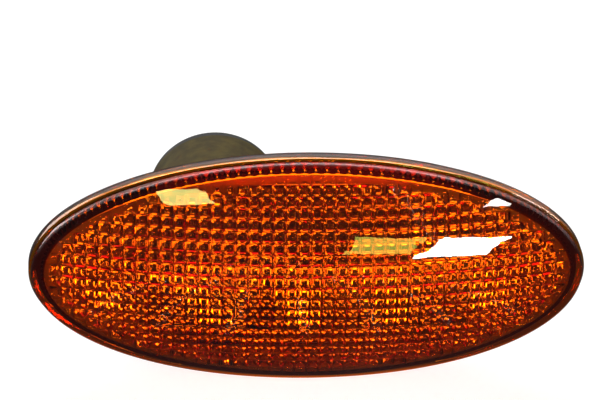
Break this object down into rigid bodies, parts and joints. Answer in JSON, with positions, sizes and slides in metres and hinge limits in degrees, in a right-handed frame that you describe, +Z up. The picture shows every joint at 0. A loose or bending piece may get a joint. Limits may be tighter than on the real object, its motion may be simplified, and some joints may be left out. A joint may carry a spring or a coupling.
{
  "type": "vehicle indicator lamp",
  "caption": "Oval amber side indicator lamp for a vehicle body, with prismatic lens, bulb chamber, quarter-turn bulb holder, gasket and spring clip.",
  "frame": {"origin": "centre of the lamp on the outer face of the vehicle panel, which the gasket's rear face lies on", "axes": "+X along the lamp, +Y into the vehicle panel, away from the lens, +Z up across the lamp"},
  "size_m": [0.1049, 0.0605, 0.045],
  "materials": {
    "amber_lens": "clear amber plastic, smooth outside and prismatic inside",
    "grey_plastic": "olive grey moulded plastic",
    "foam": "closed cell foam",
    "spring_steel": "rolled spring strip",
    "black_plastic": "black moulded plastic",
    "seal_rubber": "smooth seal rubber",
    "contact_brass": "tinned brass strip",
    "clear_glass": "clear blown glass",
    "tungsten": "drawn tungsten",
    "lead_wire": "drawn wire"
  },
  "bodies": {
    "lamp": {"lens": "amber_lens", "rear_housing": "grey_plastic", "panel_gasket": "foam", "retaining_clip": "spring_steel"},
    "holder": {"bulb_holder": "black_plastic", "holder_seal": "seal_rubber", "contact_live": "contact_brass", "contact_earth": "contact_brass", "bulb_glass": "clear_glass", "bulb_filament": "tungsten", "filament_wire_live": "lead_wire", "filament_wire_earth": "lead_wire"}
  },
  "joints": [
    {"name": "holder_turn", "type": "hinge", "parent": "lamp", "child": "holder", "pos_m": [-0.0159, 0, 0], "axis": [0, 1, 0], "range_deg": [-45, 0]}
  ]
}
